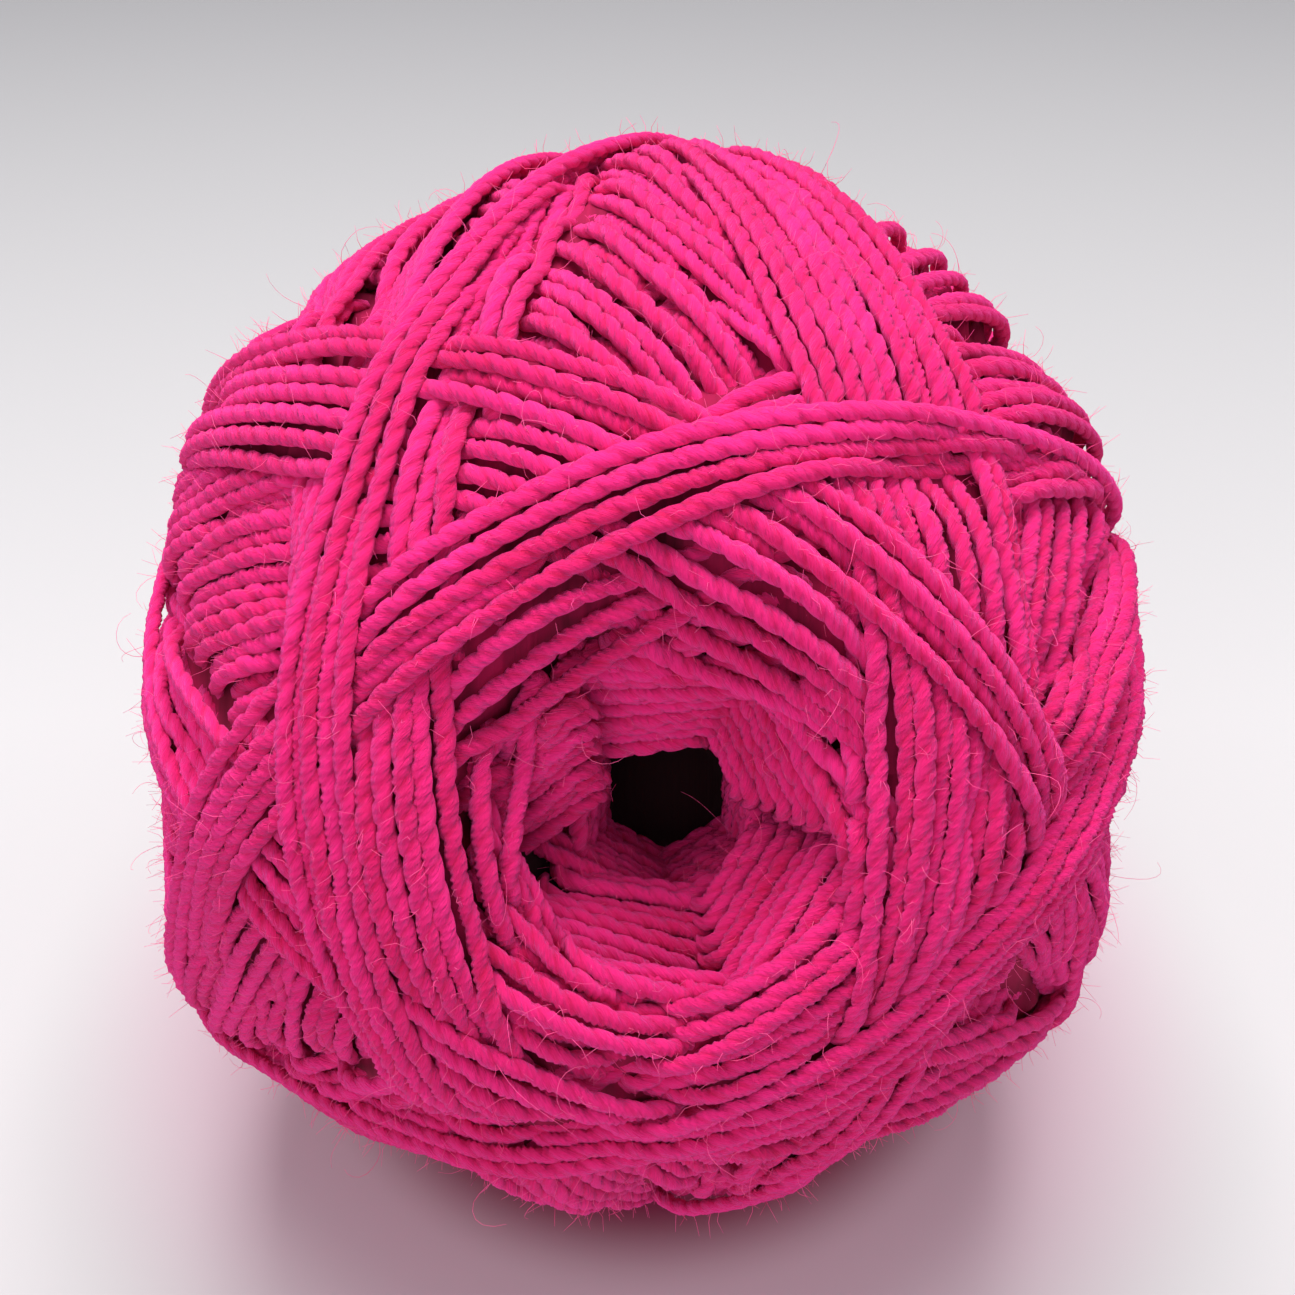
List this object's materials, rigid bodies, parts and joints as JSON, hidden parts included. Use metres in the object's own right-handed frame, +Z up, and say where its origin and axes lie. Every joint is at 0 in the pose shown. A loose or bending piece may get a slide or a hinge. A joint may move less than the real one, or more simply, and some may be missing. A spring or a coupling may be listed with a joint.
{
  "type": "wound yarn ball",
  "caption": "Machine-wound centre-pull ball of soft pink wool yarn, with broad crossing bands round a funnel-shaped core hole.",
  "frame": {"origin": "middle of the underside, on the surface that the ball rests on", "axes": "+Z up, -Y towards the front of the ball, where the core hole opens forwards and upwards, +X to the right seen from the front"},
  "size_m": [0.0824, 0.0906, 0.0872],
  "materials": {
    "pink_wool": "soft matt two-ply wool with a light fuzz"
  },
  "bodies": {
    "root": {"yarn_ball": "pink_wool"}
  },
  "joints": []
}
